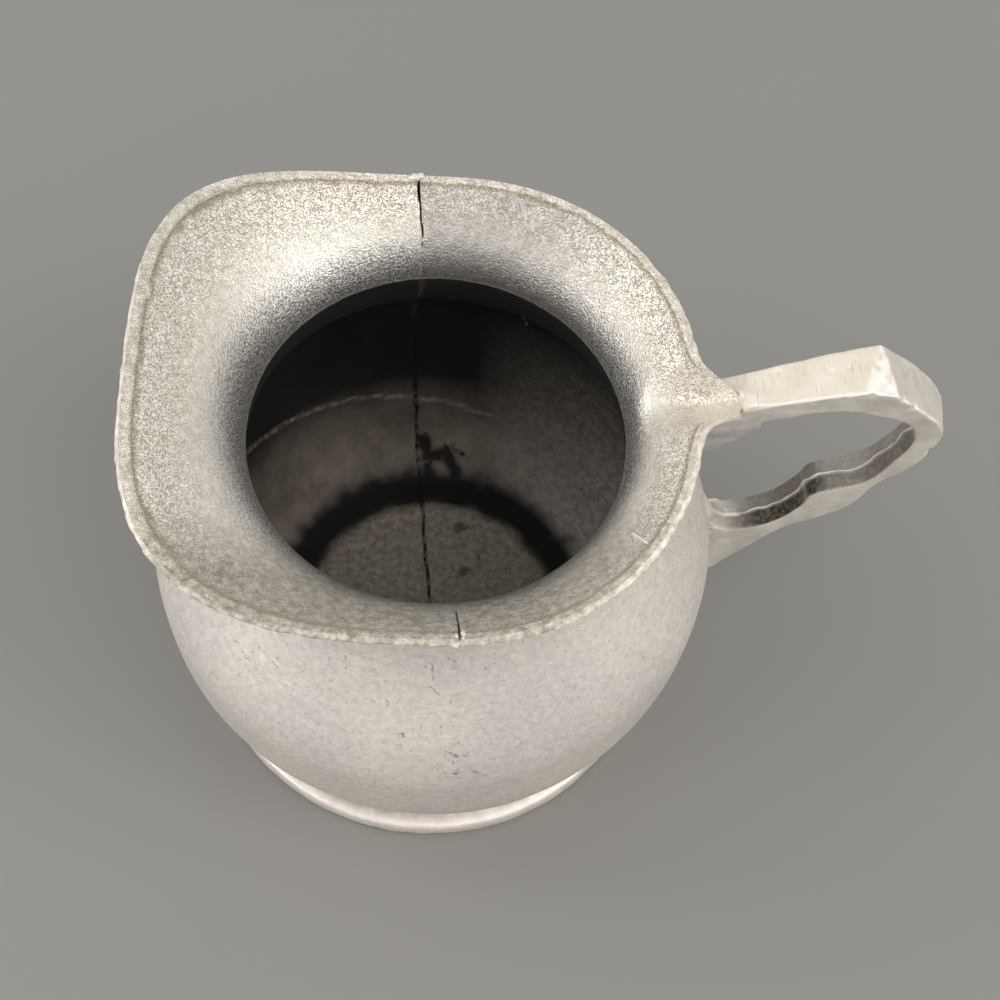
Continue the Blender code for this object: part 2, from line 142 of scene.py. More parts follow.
@lru_cache(maxsize=None)
def lip_line(angle, tabbed=True):
    """The lip's neck, the corner of its curve and its edge at an angle, as (radius, height)."""
    turned = angle - lip_turn
    to_spout = math.cos(turned) < 0.0
    reach = spout_reach if to_spout else handle_end_reach
    power = spout_squareness if to_spout else handle_end_squareness
    across = (abs(math.sin(turned)) / side_reach) ** power
    radius = ((abs(math.cos(turned)) / reach) ** power + across) ** (-1.0 / power)
    place = radius * math.cos(turned)
    if place < lip_low_place:
        rise = spout_rise * ((lip_low_place - place) / (lip_low_place + spout_reach)) ** 2
    else:
        rise = handle_end_rise * ((place - lip_low_place) / (handle_end_reach - lip_low_place)) ** 2
    tab = tab_weight(angle, radius) if tabbed else 0.0
    edge = Vector((radius + tab_reach * tab - lip_wall / 3.0, lip_low_height + rise - tab_drop * tab))
    neck = Vector((throat_radius, throat_height))
    stand = Vector((throat_radius, throat_height + flare_stand * (edge.y - throat_height)))
    return neck, stand, edge


def lip_point(angle, share, side, tabbed=True):
    """A point up the lip: side 0 is its inner face and 1 its outer one."""
    neck, stand, edge = lip_line(angle, tabbed)
    along = ((stand - neck) * (1.0 - share) + (edge - stand) * share).normalized()
    outward = Vector((along.y, -along.x))
    return bend(neck, stand, edge, share) + outward * (wall + (lip_wall - wall) * share) * side


def lip_edge_point(angle, share):
    """A point across the lip's flat edge, from the outer corner at 0 to the inner one at 1."""
    stand, edge = lip_line(angle)[1:]
    tip = (edge - stand).normalized()
    outward = Vector((tip.y, -tip.x))
    across = lip_wall * (1.0 - share)
    corner = min(lip_wall - across, edge_rounding)
    drop = edge_rounding - math.sqrt(edge_rounding ** 2 - (edge_rounding - corner) ** 2)
    filed = lip_wall / 4.0 * max(0.0, 1.0 - across / (0.65 * lip_wall))
    return edge + outward * across + tip * (lip_wall / 4.0 - drop - filed)


@lru_cache(maxsize=None)
def cup_point(zone, share, angle):
    """A point of the smooth cup's section, as (radius, height). Only the lip's depends on the angle."""
    if zone == "under":
        return Vector((boss_radius * share, base_height))
    if zone == "shoulder":
        return Vector((boss_radius + (crease_radius - boss_radius) * share, shoulder_height))
    if zone == "outside":
        return wall_point(shoulder_height + (throat_height - shoulder_height) * share, 0.0)
    if zone == "lip_back":
        return lip_point(angle, share, 1.0)
    if zone == "edge":
        return lip_edge_point(angle, share)
    if zone == "flare":
        plain = lip_point(angle, 1.0 - share, 0.0, tabbed=False)
        return plain.lerp(lip_point(angle, 1.0 - share, 0.0), smooth(0.32, 1.0, 1.0 - share))
    lowest = shoulder_height + bend_height
    if zone == "inside":
        return wall_point(throat_height + (lowest - throat_height) * share, -wall)
    channel_radius = floor_disc_radius + channel_width
    channel_height = floor_height - channel_depth
    foot_of_wall = wall_point(lowest, -wall)
    if zone == "bend":
        corner = Vector((foot_of_wall.x - bend_height / 2.0, channel_height))
        return bend(foot_of_wall, corner, Vector((channel_radius, channel_height)), share)
    radius = channel_radius * (1.0 - share)
    step = smooth(floor_disc_radius - channel_depth, floor_disc_radius + channel_depth, radius)
    return Vector((radius, floor_height - channel_depth * step))


cup_zones = [("under", 12), ("shoulder", 4), ("outside", 88), ("lip_back", 30), ("edge", 10),
             ("flare", 60), ("inside", 66), ("bend", 12), ("floor", 30)]


def at_tab(x, y):
    """1 on the tab, which has no filed edge of its own, and 0 on the rest of the lip."""
    return smooth(0.10, 0.35, tab_weight(math.atan2(y, x), math.hypot(x, y)))


def unevenness(zone, share, x, y, z):
    """How far hand casting and filing left the surface from true, outwards, in millimetres."""
    if zone in ("under", "shoulder"):
        return 0.0
    if zone == "outside":
        fade = smooth(0.0, 0.06, share)
        out = fade * (0.07 * rough(x, y, z, 11.0) + 0.022 * rough(x, y, z, 2.6, 3.0) - 0.09)
        if x > 20.0:
            away = math.hypot(max(abs(y) - 2.0, 0.0), max(z - root_top, root_bottom - z, 0.0))
            out += 0.50 * max(0.0, 1.0 - away / 1.6) ** 2
        return out
    if zone == "lip_back":
        filed = 0.09 * smooth(0.6, 1.0, share)
        return 0.05 * rough(x, y, z, 5.0) + 0.03 * rough(x, y, z, 1.2, 7.0) - 0.04 - filed
    if zone == "edge":
        chips = abs(rough(x, y, z, 1.7, 5.0)) * (1.0 - 0.8 * at_tab(x, y))
        return 0.10 * rough(x, y, z, 2.6, 5.0) + 0.22 * chips + 0.10 * rough(x, y, z, 0.8, 11.0) - 0.35
    if zone == "flare":
        wander = 0.016 * rough(x, y, z, 1.6, 21.0)
        filed = 0.20 * smooth(0.055, 0.0, share)
        groove = 0.12 * smooth(0.03, 0.05, share + wander) * smooth(0.085, 0.055, share + wander)
        filed += groove * (1.0 - at_tab(x, y))
        return 0.05 * rough(x, y, z, 4.5, 2.0) + 0.022 * rough(x, y, z, 0.9, 4.0) - filed
    if zone == "inside":
        return 0.08 * rough(x, y, z, 7.0, 9.0) + 0.05 * rough(x, y, z, 1.8, 1.0)
    return 0.05 * rough(x, y, z, 4.0, 6.0) + 0.04 * rough(x, y, z, 1.1, 8.0)


def crack_depth(zone, x, y, z):
    """How deep the seam stands open on the inside of the cup and across the lip, in millimetres."""
    wander = x - 0.10 * rough(0.0, y, z, 1.6, 13.0) - 0.10 * rough(0.0, y, z, 4.0, 3.0)
    if zone == "flare" and y > 0.0:
        width = 0.05 + 0.07 * smooth(53.4, 58.0, z) + 0.06 * rough(7.0, y, z, 0.7, 5.0)
        depth = 0.9 * smooth(52.8, 56.4, z)
    elif zone == "flare":
        width = 0.055 + 0.03 * smooth(56.8, 55.8, z)
        depth = 0.5 * smooth(55.2, 56.0, z) * smooth(-0.7, 0.3, rough(5.0, y, z, 0.8, 3.0))
    elif zone == "edge":
        width = 0.11 if y > 0.0 else 0.07
        depth = 0.6 if y > 0.0 else 0.35
    elif zone in ("inside", "bend", "floor"):
        width = 0.30
        depth = 0.16 + 0.12 * rough(3.0, y, z, 1.6, 5.0)
    else:
        return 0.0
    return depth * max(0.0, 1.0 - (abs(wander) / width) ** 2)


@lru_cache(maxsize=None)
def column_angle(column, side):
    """The angle of a column of vertices of one half: columns stand closer together at the seam."""
    away = 2.0 * column / columns
    seam = -side * math.pi / 2.0
    if away > 1.0:
        seam, away = side * math.pi / 2.0, away - 2.0
    near = abs(away) - gather * (1.0 - math.exp(-abs(away) / gather_reach))
    return seam + math.copysign(near / (1.0 - gather), away) * math.pi / 2.0


body_masks = ("flare", "sand", "throat", "edge", "groove", "inside", "disc", "crack", "seam", "deposit",
              "filed", "ring")


def half_shape(side):
    """Half a tube, one band of faces for each zone of the section, whose vertices then move to the cup."""
    shape = bmesh.new()
    masks = {name: shape.verts.layers.float.new(name) for name in body_masks}
    line = [shape.verts.new((0.0, -side, number)) for number in range(len(cup_zones) + 1)]
    edges = [shape.edges.new(pair) for pair in zip(line, line[1:])]
    bmesh.ops.spin(shape, geom=line + edges, cent=(0, 0, 0), axis=(0, 0, 1), angle=math.pi, steps=columns)
    for number, (zone, rows) in enumerate(cup_zones):
        middle = number + 0.5
        uprights = [edge for edge in shape.edges
                    if abs((edge.verts[0].co.z + edge.verts[1].co.z) / 2.0 - middle) < 0.01
                    and abs(edge.verts[0].co.z - edge.verts[1].co.z) > 0.9]
        bmesh.ops.subdivide_edges(shape, edges=uprights, cuts=rows - 1, use_grid_fill=True)
    for corner in shape.verts:
        number = min(int(corner.co.z + 0.0001), len(cup_zones) - 1)
        zone = cup_zones[number][0]
        share = round(corner.co.z - number, 5)
        turn = math.atan2(corner.co.y, corner.co.x) + side * math.pi / 2.0
        angle = column_angle(round(turn % math.tau * columns / math.pi) % (2 * columns), side)
        at = angle if zone in ("lip_back", "edge", "flare") else 0.0
        place = cup_point(zone, share, at)
        along = cup_point(zone, min(share + 0.02, 1.0), at) - cup_point(zone, max(share - 0.02, 0.0), at)
        along = along.normalized()
        x, y, z = place.x * math.cos(angle), place.x * math.sin(angle), place.y
        deep = crack_depth(zone, x, y, z)
        place = place + Vector((along.y, -along.x)) * (unevenness(zone, share, x, y, z) - deep)
        corner.co = (place.x * math.cos(angle), place.x * math.sin(angle), place.y)
        within = float(zone in ("inside", "bend", "floor"))
        if zone == "flare":
            within = smooth(0.955, 0.975, share + 0.006 * rough(x, y, z, 0.8, 9.0))
        tab = at_tab(x, y) if zone in ("flare", "edge") else 0.0
        corner[masks["inside"]] = within
        corner[masks["flare"]] = float(zone in ("flare", "inside")) if zone != "edge" else tab
        corner[masks["throat"]] = smooth(0.30, 0.72, share) if zone == "flare" else float(zone == "inside")
        corner[masks["sand"]] = smooth(0.55, 0.10, share) if zone == "flare" else 0.0
        wander = share + 0.016 * rough(x, y, z, 1.6, 21.0)
        filed = {"edge": 1.0, "flare": smooth(0.048, 0.036, wander)}.get(zone, 0.0)
        corner[masks["edge"]] = filed * (1.0 - tab)
        groove = smooth(0.036, 0.048, wander) * smooth(0.080, 0.055, wander) if zone == "flare" else 0.0
        corner[masks["groove"]] = groove * (1.0 - tab)
        past = min(0.62 * (x - filed_tab_start - filed_tab_slant * y), place.x - filed_tab_radius)
        past += 0.6 * rough(x, y, z, 1.0, 3.0)
        corner[masks["filed"]] = smooth(-0.25, 0.25, past) * tab
        # The painted shadow ring: the inside corner round the floor is darkened towards near black.
        ring = smooth(shadow_ring_start, shadow_ring_full, place.x + 0.8 * rough(x, y, 0.0, 2.0, 6.0))
        corner[masks["ring"]] = ring if zone in ("bend", "floor") else 0.0
        rim = floor_disc_radius + 0.1 + 0.7 * rough(x, y, 0.0, 3.0, 2.0)
        corner[masks["disc"]] = smooth(rim + 1.0, rim - 0.6, place.x) if zone == "floor" else 0.0
        # The crack mask, with which the open crack is painted dark as shade.
        corner[masks["crack"]] = min(1.0, (deep / 0.6) ** 1.5) if zone in ("flare", "edge") else 0.0
        thin = 1.1 if zone == "inside" else 0.75
        corner[masks["seam"]] = max(0.0, 1.0 - abs(x - 0.25 * rough(0.0, y, z, 2.0, 2.0)) / thin)
        arc = z - deposit_height + deposit_tilt * x + 0.25 * rough(x, y, 0.0, 2.2, 4.0)
        corner[masks["deposit"]] = max(0.0, 1.0 - abs(arc) / 0.7) if zone == "inside" and y > 0.0 else 0.0
    bmesh.ops.remove_doubles(shape, verts=shape.verts, dist=0.0001)
    cut = [edge for edge in shape.edges if edge.is_boundary]
    bmesh.ops.triangle_fill(shape, edges=cut, use_beauty=True)
    bmesh.ops.recalc_face_normals(shape, faces=shape.faces)
    place_on_table(shape)
    return shape


def place_on_table(shape):
    """From millimetres round the body's axis to metres on the table."""
    bmesh.ops.scale(shape, vec=(mm, mm, mm), verts=shape.verts)
    bmesh.ops.translate(shape, vec=(axis_place * mm, 0.0, 0.0), verts=shape.verts)


def linear(code):
    """A #RRGGBB colour in the linear values that shaders take."""
    parts = [int(code[place:place + 2], 16) / 255.0 for place in (1, 3, 5)]
    return [part / 12.92 if part <= 0.04045 else ((part + 0.055) / 1.055) ** 2.4 for part in parts] + [1.0]


def wire(tree, node, inputs):
    """Each input of a node is set to a value or a colour as #RRGGBB, or linked to a socket."""
    for name, value in inputs.items():
        if isinstance(value, bpy.types.NodeSocket):
            tree.links.new(value, node.inputs[name])
        else:
            node.inputs[name].default_value = linear(value) if isinstance(value, str) else value


def add(tree, kind, inputs, **settings):
    """The outputs of one shader node that is added with its settings and its inputs."""
    node = tree.nodes.new("ShaderNode" + kind)
    for name, value in settings.items():
        setattr(node, name, value)
    wire(tree, node, inputs)
    return node.outputs


def new_finish(name):
    """An empty material, its node tree, its shader and its Object coordinates."""
    made = bpy.data.materials.new(name)
    made.use_nodes = True
    tree = made.node_tree
    return made, tree, tree.nodes["Principled BSDF"], add(tree, "TexCoord", {})["Object"]


def mark_mask(tree, place, marks):
    """1 on fine straight marks and 0 elsewhere. A mark is its start, its end and its half width, in mm."""
    mask = None
    for *ends, width in marks:
        start, end = Vector(ends[:3]), Vector(ends[3:])
        begin, line = start * mm, (end - start) * mm
        offset = add(tree, "VectorMath", {0: place, 1: begin}, operation="SUBTRACT")[0]
        along = add(tree, "VectorMath", {0: offset, 1: line / line.length_squared}, operation="DOT_PRODUCT")
        held = add(tree, "Clamp", {0: along["Value"]})[0]
        nearest = add(tree, "VectorMath", {0: line, "Scale": held}, operation="SCALE")[0]
        away = add(tree, "VectorMath", {0: offset, 1: nearest}, operation="DISTANCE")["Value"]
        here = add(tree, "MapRange", {0: away, 1: width * mm, 2: width * 0.4 * mm})[0]
        mask = here if mask is None else add(tree, "Math", {0: mask, 1: here}, operation="MAXIMUM")[0]
    return mask


flare_scratches = [
    (5.1, 13.8, 54.3, 6.2, 12.3, 54.4, 0.10), (3.4, 14.2, 52.4, 4.8, 12.5, 52.4, 0.09),
    (5.9, 11.0, 52.6, 7.2, 8.0, 52.0, 0.09), (7.4, 7.4, 51.9, 8.7, 2.0, 51.3, 0.10),
    (9.1, 0.5, 51.1, 8.5, -2.1, 50.3, 0.10), (9.5, 0.0, 51.4, 9.0, -2.6, 50.8, 0.10),
    (6.4, -16.4, 57.2, 7.9, -18.8, 58.9, 0.16), (-4.6, 17.3, 53.6, -2.0, 16.6, 53.7, 0.09),
]
belly_gouges = [
    (-34.1, -16.4, 37.3, -31.7, -20.2, 36.4, 0.13), (-32.0, -17.5, 38.8, -29.4, -20.6, 38.2, 0.10),
    (-33.2, -17.6, 37.4, -30.9, -20.9, 36.2, 0.08), (-22.6, -21.0, 43.9, -22.7, -22.4, 41.6, 0.12),
    (-17.3, -27.9, 36.4, -17.1, -28.2, 36.0, 0.24), (-12.7, -29.5, 34.7, -12.0, -29.7, 34.4, 0.14),
    (-12.0, -29.7, 34.4, -11.3, -30.0, 34.0, 0.28), (-10.9, -29.9, 34.1, -10.4, -30.0, 33.9, 0.18),
    (-11.8, -31.1, 31.6, -11.1, -30.9, 32.2, 0.26), (-10.2, -30.9, 32.0, -9.1, -31.1, 31.4, 0.24),
    (-9.1, -31.1, 31.4, -8.0, -31.2, 30.7, 0.16), (-13.6, -23.0, 45.0, -13.6, -23.1, 44.6, 0.12),
    (-13.8, -23.4, 44.0, -13.7, -24.5, 42.1, 0.14), (-14.0, -24.9, 41.5, -13.3, -25.5, 40.7, 0.20),
    (-13.7, -27.0, 38.5, -13.0, -27.2, 38.3, 0.18), (-13.0, -27.5, 37.8, -13.0, -28.5, 36.4, 0.14),
    (-18.6, -25.4, 39.5, -18.5, -25.8, 39.1, 0.16), (-8.4, -23.9, 42.9, -7.3, -23.5, 43.3, 0.18),
    (-28.9, -23.4, 36.0, -28.6, -23.6, 35.9, 0.14),
]
belly_scratches = [
    (-13.9, -25.6, 41.2, -10.8, -26.6, 40.0, 0.07), (-2.4, -26.6, 38.6, -0.2, -26.2, 38.2, 0.08),
    (3.6, -25.5, 34.8, 5.4, -24.6, 34.6, 0.07), (-6.2, -30.2, 29.0, -3.4, -29.6, 28.6, 0.06),
    (-26.0, -26.9, 31.8, -23.8, -27.6, 30.8, 0.07), (-20.2, -24.1, 42.2, -18.0, -24.6, 41.8, 0.06),
]
wall_streaks = [
    (7.3, 22.7, 22.4, 9.7, 20.2, 21.0, 0.24), (10.0, 19.8, 20.8, 12.1, 17.0, 20.0, 0.28),
    (12.4, 16.4, 19.6, 13.3, 14.7, 18.6, 0.24), (6.4, 17.8, 9.7, 8.6, 16.6, 11.1, 0.32),
    (8.8, 16.4, 11.3, 10.6, 14.7, 12.1, 0.28), (10.8, 14.2, 12.2, 12.3, 11.2, 11.5, 0.24),
    (8.0, 14.2, 9.0, 8.4, 11.8, 6.6, 0.28), (1.2, 26.4, 30.9, 1.8, 26.6, 28.6, 0.24),
]
floor_spots = [
    (-7.2, 11.2, 5.5, -6.8, 11.3, 5.5, 0.9), (-7.1, 4.9, 5.5, -6.9, 5.2, 5.5, 0.9),
    (-5.0, 7.0, 5.5, -4.9, 6.9, 5.5, 0.4),
]
residue = [
    (-10.6, 23.6, 7.2, -10.3, 18.4, 5.3, 1.2), (-9.8, 21.8, 5.9, -8.0, 22.0, 5.9, 1.3),
    (-8.0, 22.2, 6.2, -6.9, 19.4, 5.4, 1.2), (-7.0, 22.8, 6.6, -6.0, 21.6, 6.0, 0.6),
]


def wandering(tree, place):
    """Fine specks, and the object's coordinates shaken by them a lot and a little, for ragged marks.

    A noise's scale is in lumps to the metre, so 1000 makes them a millimetre across.
    """
    specks = add(tree, "TexNoise", {"Vector": place, "Scale": 1100.0, "Detail": 4.0, "Roughness": 0.7})
    shift = add(tree, "VectorMath", {0: specks["Color"], 1: (0.5, 0.5, 0.5)}, operation="SUBTRACT")
    shift = add(tree, "VectorMath", {0: shift[0], "Scale": 1.6 * mm}, operation="SCALE")
    ragged = add(tree, "VectorMath", {0: place, 1: shift[0]}, operation="ADD")[0]
    wavering = add(tree, "Mix", {0: 0.35, 4: place, 5: ragged}, data_type="VECTOR")[1]
    return specks["Fac"], ragged, wavering


def scraped_skin(tree, place, ragged, wavering):
    """Pewter scraped with a blade: lilac grey and tan patches, flecked, scratched across and gouged.

    Gives its colour, and the height of the scratches for a bump.
    """
    patches, mottle, flecks = [
        add(tree, "TexNoise", {"Vector": place, "Scale": scale, "Detail": detail, "Roughness": harsh})["Fac"]
        for scale, detail, harsh in ((70.0, 3.0, 0.5), (1200.0, 5.0, 0.76), (1900.0, 3.0, 0.7))]
    tone = add(tree, "MapRange", {0: patches, 1: 0.35, 2: 0.65})[0]
    color = add(tree, "Mix", {0: tone, 6: "#D0C9C3", 7: "#DAD2C7"}, data_type="RGBA")[2]
    shade = add(tree, "MapRange", {0: mottle, 1: 0.34, 2: 0.66, 3: 0.84, 4: 1.10})[0]
    color = add(tree, "VectorMath", {0: color, "Scale": shade}, operation="SCALE")[0]
    for edge, full, paint in ((0.39, 0.32, "#8F8880"), (0.62, 0.69, "#F2ECE3")):
        here = add(tree, "MapRange", {0: flecks, 1: edge, 2: full, 4: 0.5})[0]
        color = add(tree, "Mix", {0: here, 6: color, 7: paint}, data_type="RGBA")[2]
    height = mottle
    for tilt in (0.45, -0.75):
        along = {"Vector": place, "Rotation": (0.3, tilt, 0.2), "Scale": (420.0, 600.0, 5200.0)}
        along = add(tree, "Mapping", along)[0]
        scratch = add(tree, "TexNoise", {"Vector": along, "Scale": 1.0, "Detail": 2.0})["Fac"]
        fine = add(tree, "MapRange", {0: scratch, 1: 0.60, 2: 0.70, 4: 0.18})[0]
        color = add(tree, "Mix", {0: fine, 6: color, 7: "#F0EAE2"}, data_type="RGBA")[2]
        height = add(tree, "Math", {0: scratch, 1: 0.3, 2: height}, operation="MULTIPLY_ADD")[0]
    for where, marks, paint in ((ragged, belly_gouges, "#959087"), (wavering, belly_scratches, "#F6F1EA")):
        marked = mark_mask(tree, where, marks)
        color = add(tree, "Mix", {0: marked, 6: color, 7: paint}, data_type="RGBA")[2]
    return color, height


def cast_body_finish():
    """Pewter in four states, told apart by masks, which gives the jug its hand-made, much used look.

    Outside it is scraped. The flare kept a sandy cream skin, with worm-like creases half a millimetre
    apart, which turns to sparkling satin at the throat. Towards the near left the flare is painted darker
    as shade. The lip's edge is filed bright, and painted darker as shade towards the near left too. The
    open crack is painted dark as shade. The inside is stained brown-black and turns greyer lower down,
    with a painted pool of light on its lower right wall and a painted black shadow ring round the floor.
    """
    made, tree, shader, place = new_finish("cast pewter, scraped, sandy lip, stained inside")
    mask = {name: add(tree, "Attribute", {}, attribute_name=name)["Fac"] for name in body_masks}
    rightward, back, height = add(tree, "SeparateXYZ", {0: place})
    specks, ragged, wavering = wandering(tree, place)
    outer, tooth = scraped_skin(tree, place, ragged, wavering)
    clouds = add(tree, "TexNoise", {"Vector": place, "Scale": 160.0, "Detail": 6.0, "Roughness": 0.68})["Fac"]
    sparkle = add(tree, "TexNoise", {"Vector": place, "Scale": 4300.0, "Detail": 2.0, "Roughness": 0.6})
    sparkle = sparkle["Fac"]
    worms = add(tree, "TexNoise", {"Vector": place, "Scale": 2800.0, "Detail": 1.5, "Distortion": 0.5})
    crease = add(tree, "Math", {0: worms["Fac"], 1: 0.5}, operation="SUBTRACT")[0]
    crease = add(tree, "Math", {0: crease}, operation="ABSOLUTE")[0]
    part = {}
    for name, *values in (
            ("shade", clouds, 0.35, 0.68), ("grit", specks, 0.36, 0.64), ("bright", sparkle, 0.40, 0.60),
            ("crust", specks, 0.45, 0.60, 0.25, 1.0), ("dots", specks, 0.42, 0.54, 0.25, 1.0),
            ("crease", crease, 0.01, 0.055), ("open crease", crease, 0.01, 0.055, 0.76, 0.0),
            # Towards the near left, where the flare and its filed edge are painted darker as shade.
            ("near", back, -0.0120, -0.0190), ("left", rightward, 0.012, -0.004, 0.35, 1.0),
            ("far right", rightward, -0.01175, -0.01145, 0.0, 0.75),
            ("before handle", rightward, 0.002, 0.010, 1.0, 0.0), ("far", back, 0.006, 0.012),
            ("middle wall", height, 0.040, 0.026), ("low wall", height, 0.016, 0.007),
            # A painted pool of light on the lower right of the inside wall.
            ("lit wall", rightward, -0.004, 0.012, 0.0, 0.9), ("lower", height, 0.030, 0.008),
            ("low seam", height, 0.029, 0.023), ("line", mask["deposit"], 0.35, 0.95),
            ("joint", mask["seam"], 0.58, 0.85)):
        part[name] = add(tree, "MapRange", dict(enumerate(values)))[0]
    streaks = mark_mask(tree, wavering, wall_streaks)
    part["line"] = add(tree, "Math", {0: part["line"], 1: streaks}, operation="MAXIMUM")[0]
    for name, share in (("open crease", mask["sand"]), ("near", part["left"]),
                        ("far right", part["before handle"]), ("far right", part["far"]),
                        ("lit wall", part["lower"]), ("line", part["crust"]), ("joint", part["dots"])):
        part[name] = add(tree, "Math", {0: part[name], 1: share}, operation="MULTIPLY")[0]
    grit, shade = part["grit"], part["shade"]
    tone = {}
    for name, by, darker, lighter in (
            ("sandy", grit, "#E2D9CB", "#F9F2E7"), ("satin", part["bright"], "#9A9591", "#FFFCF6"),
            # The near flare's tone here and the near edge's darker tone on the next line are painted shade.
            ("wear_and_shade", grit, "#9F978C", "#CCC5B9"), ("grey", grit, "#ADA7A1", "#D0CAC3"),
            ("filed", grit, "#CFC4B3", "#FBF3E6"), ("shaded edge", grit, "#A09789", "#E2DACD"),
            ("black", shade, "#0A0706", "#16110E"), ("brown", shade, "#15120F", "#241F1B"),
            # The next, paler tone is the painted pool of light on the lower right inside wall.
            ("low wall", shade, "#756B60", "#A3988B"), ("lit wall", grit, "#B3A89C", "#EAE2D8"),
            ("floor", grit, "#857B6D", "#B2A89A"), ("seam", part["low seam"], "#453C34", "#0F0C09")):
        tone[name] = add(tree, "Mix", {0: by, 6: darker, 7: lighter}, data_type="RGBA")[2]
    sandy = tone["sandy"]
    for share, paint in ((part["open crease"], "#A3957F"), (mask["throat"], tone["satin"]),
                         # The near left of the flare is painted darker as shade.
                         (part["near"], tone["wear_and_shade"]), (part["far right"], tone["grey"]),
                         (mark_mask(tree, place, flare_scratches), "#FFFFFF"),
                         (mask["filed"], "#EFE6D7"), (mask["groove"], "#A59A86")):
        sandy = add(tree, "Mix", {0: share, 6: sandy, 7: paint}, data_type="RGBA")[2]
    # The filed edge, painted darker as shade towards the near left.
    filed = add(tree, "Mix", {0: part["near"], 6: tone["filed"], 7: tone["shaded edge"]}, data_type="RGBA")[2]
    spots = add(tree, "Math", {0: mark_mask(tree, ragged, floor_spots), 1: 0.7}, operation="MULTIPLY")[0]
    bottom = add(tree, "Mix", {0: spots, 6: tone["floor"], 7: "#3A322A"}, data_type="RGBA")[2]
    stained = tone["black"]
    # Layers of the inside: browner and greyer lower down, the painted pool of light on the lower right wall,
    # lighter streaks, the painted black shadow ring round the floor, the floor disc, the dark joint and black
    # residue.
    for share, paint in ((part["middle wall"], tone["brown"]), (part["low wall"], tone["low wall"]),
                         (part["lit wall"], tone["lit wall"]), (part["line"], "#A99E91"),
                         (mask["ring"], "#050403"), (mask["disc"], bottom), (part["joint"], tone["seam"]),
                         (mark_mask(tree, ragged, residue), "#0A0806")):
        stained = add(tree, "Mix", {0: share, 6: stained, 7: paint}, data_type="RGBA")[2]
    # The open crack is painted dark as shade.
    color = outer
    for name, paint in (("flare", sandy), ("edge", filed), ("inside", stained), ("crack", "#1A1411")):
        color = add(tree, "Mix", {0: mask[name], 6: color, 7: paint}, data_type="RGBA")[2]

    state = {}
    for name, outside, flare, throat, inside in (("Metallic", 0.35, 0.66, 0.85, 0.0),
                                                 ("Roughness", 0.52, 0.41, 0.34, 0.72),
                                                 ("Strength", 0.4, 0.8, 1.0, 0.2)):
        value = outside
        for where, there in (("flare", flare), ("throat", throat), ("inside", inside)):
            value = add(tree, "Mix", {0: mask[where], 2: value, 3: there})[0]
        state[name] = value
    relief = add(tree, "Mix", {0: mask["flare"], 2: tooth, 3: sparkle})[0]
    relief = add(tree, "Math", {0: mask["sand"], 1: part["crease"], 2: relief}, operation="MULTIPLY_ADD")[0]
    bump = add(tree, "Bump", {"Strength": state["Strength"], "Distance": 0.12 * mm, "Height": relief})
    wire(tree, shader, {"Base Color": color, "Metallic": state["Metallic"],
                        "Roughness": state["Roughness"], "Normal": bump[0]})
    return made


def add_piece(name, shape, finish, sharp):
    """An object at the origin for a finished shape, smooth but for corners over an angle in degrees."""
    mesh = bpy.data.meshes.new(name)
    shape.to_mesh(mesh)
    shape.free()
    mesh.materials.append(finish)
    mesh.shade_smooth()
    mesh.set_sharp_from_angle(angle=math.radians(sharp))
    made = bpy.data.objects.new(name, mesh)
    bpy.context.scene.collection.objects.link(made)
    return made


cast_body = cast_body_finish()
for name, node, side in (("spout_half_cast", "spout_half", -1.0), ("handle_half_cast", "handle_half", 1.0)):
    piece = add_piece(name, half_shape(side), cast_body, 50.0)
    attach(piece, "root")
    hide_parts(node)

# The solder runs in the outside of the seam, near and far. Tin solder, run in hot and filed flush with
# the belly, so that only a faint paler streak with dark specks along it tells where they are.
seam_low = 8.15
seam_high = 46.3
seam_width = 1.4
seam_rows = 110
sliver = 0.001


def seam_run(side):
    """A strip of the belly's outside over the seam, its edges feathered into the wall."""
    shape = bmesh.new()
    line = []
    for row in range(seam_rows + 1):
        height = seam_low + (seam_high - seam_low) * row / seam_rows
        line.append(shape.verts.new((wall_point(height, 0.0).x, 0.0, height)))
    edges = [shape.edges.new(pair) for pair in zip(line, line[1:])]
    bmesh.ops.spin(shape, geom=line + edges, cent=(0, 0, 0), axis=(0, 0, 1), angle=sliver, steps=12)
    for corner in shape.verts:
        height = corner.co.z
        across = math.atan2(corner.co.y, corner.co.x) / sliver * 2.0 - 1.0
        ends = min(smooth(seam_low, seam_low + 1.5, height), smooth(seam_high, seam_high - 1.5, height))
        half_width = seam_width / 2.0 * (0.8 + 0.25 * rough(side, 0.0, height, 3.0, 6.0)) * max(ends, 0.05)
        x = across * half_width
        radius = belly_radius_at(height)
        y = side * math.sqrt(radius ** 2 - x ** 2)
        share = (height - shoulder_height) / (throat_height - shoulder_height)
        stand = unevenness("outside", share, x, y, height)
        stand += 0.035 * (1.0 - across ** 4) - 0.02 + 0.012 * rough(x, y, height, 0.9, 2.0)
        place = wall_point(height, stand)
        corner.co = (x, y * place.x / radius, place.y)
    bmesh.ops.recalc_face_normals(shape, faces=shape.faces)
    outward = sum((face.normal.y * side for face in shape.faces), 0.0)
    if outward < 0.0:
        bmesh.ops.reverse_faces(shape, faces=shape.faces)
    bmesh.ops.solidify(shape, geom=shape.faces[:], thickness=0.5)
    bmesh.ops.recalc_face_normals(shape, faces=shape.faces)
    place_on_table(shape)
    return shape


